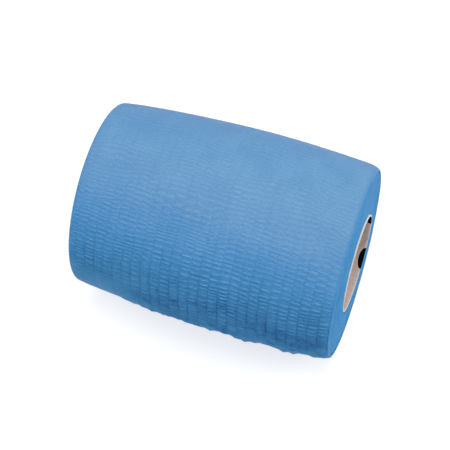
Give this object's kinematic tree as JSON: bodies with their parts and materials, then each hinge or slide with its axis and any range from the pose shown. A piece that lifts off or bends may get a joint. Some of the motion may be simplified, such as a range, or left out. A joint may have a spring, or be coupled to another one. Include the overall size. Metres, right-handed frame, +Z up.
{
  "type": "cohesive bandage roll",
  "caption": "Crinkled elastic self-adherent bandage wound on a paperboard tube, lying on its side, with its open core through the middle.",
  "frame": {"origin": "on the resting surface, under the middle of the roll", "axes": "+Z up, +X along the roll's axis towards the end that the picture shows open, +Y to the back"},
  "size_m": [0.0756, 0.0572, 0.0566],
  "materials": {
    "cohesive_cloth": "matte crinkled nonwoven with elastic threads",
    "paperboard": "matte spiral-wound paperboard"
  },
  "bodies": {
    "root": {"cloth_roll": "cohesive_cloth", "core_tube": "paperboard"}
  },
  "joints": []
}
